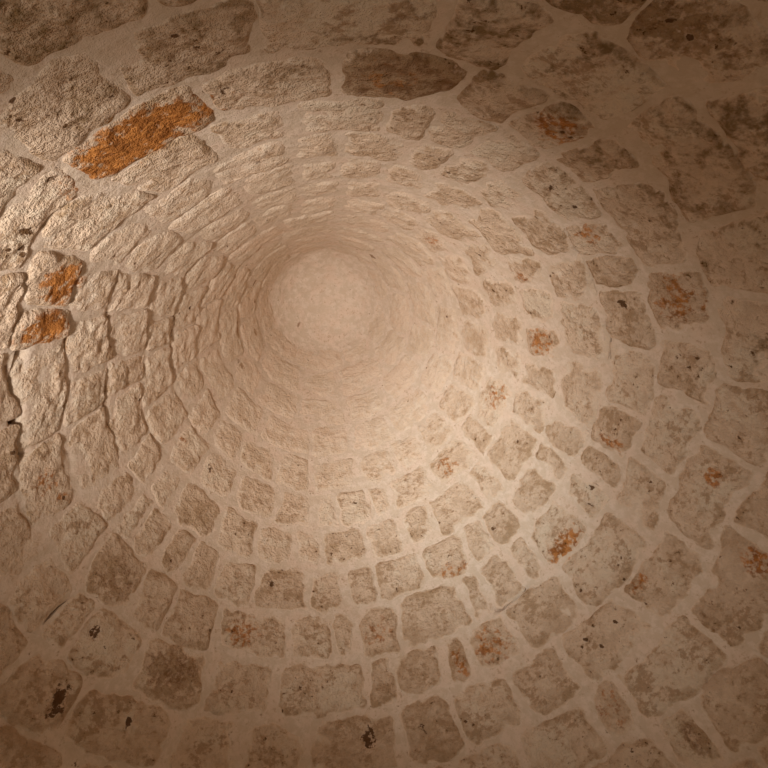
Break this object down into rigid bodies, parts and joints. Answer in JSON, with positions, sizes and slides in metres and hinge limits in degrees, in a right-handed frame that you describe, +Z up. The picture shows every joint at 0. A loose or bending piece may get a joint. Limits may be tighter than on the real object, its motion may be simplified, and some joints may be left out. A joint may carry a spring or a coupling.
{
  "type": "trullo roof cone",
  "caption": "Conical dry-stone roof of a trullo, with a corbelled vault of limestone rings inside, rubble fill, slab skin outside and a plain limewashed pinnacle.",
  "frame": {"origin": "middle of the flat underside, where the roof rests on the head of the round room's wall", "axes": "+Z up along the cone's axis"},
  "size_m": [5.1886, 5.1886, 5.0933],
  "materials": {
    "vault_stone": "rough limestone blocks, buff and grey-beige, with flush lime mortar",
    "wall_head_stone": "rough limestone through stones",
    "rubble": "packed limestone rubble and earth",
    "roof_slab": "weathered grey limestone slabs",
    "whitewash": "limewashed stone and plaster"
  },
  "bodies": {
    "root": {"wall_head_course": "wall_head_stone", "vault_course_01": "vault_stone", "vault_course_02": "vault_stone", "vault_course_03": "vault_stone", "vault_course_04": "vault_stone", "vault_course_05": "vault_stone", "vault_course_06": "vault_stone", "vault_course_07": "vault_stone", "vault_course_08": "vault_stone", "vault_course_09": "vault_stone", "vault_course_10": "vault_stone", "vault_course_11": "vault_stone", "vault_course_12": "vault_stone", "vault_course_13": "vault_stone", "vault_course_14": "vault_stone", "vault_course_15": "vault_stone", "vault_course_16": "vault_stone", "vault_course_17": "vault_stone", "vault_course_18": "vault_stone", "vault_course_19": "vault_stone", "vault_course_20": "vault_stone", "closing_stone": "vault_stone", "rubble_fill_1": "rubble", "rubble_fill_2": "rubble", "rubble_fill_3": "rubble", "rubble_fill_4": "rubble", "crown_fill": "rubble", "eaves_course": "roof_slab", "roof_band_01": "roof_slab", "roof_band_02": "roof_slab", "roof_band_03": "roof_slab", "roof_band_04": "roof_slab", "roof_band_05": "roof_slab", "roof_band_06": "roof_slab", "roof_band_07": "roof_slab", "roof_band_08": "roof_slab", "roof_band_09": "roof_slab", "roof_band_10": "roof_slab", "roof_band_11": "roof_slab", "roof_band_12": "roof_slab", "cap_slab": "roof_slab", "pinnacle_collar": "whitewash", "pinnacle_neck": "whitewash", "pinnacle_dish": "whitewash", "pinnacle_ball": "whitewash"}
  },
  "joints": []
}
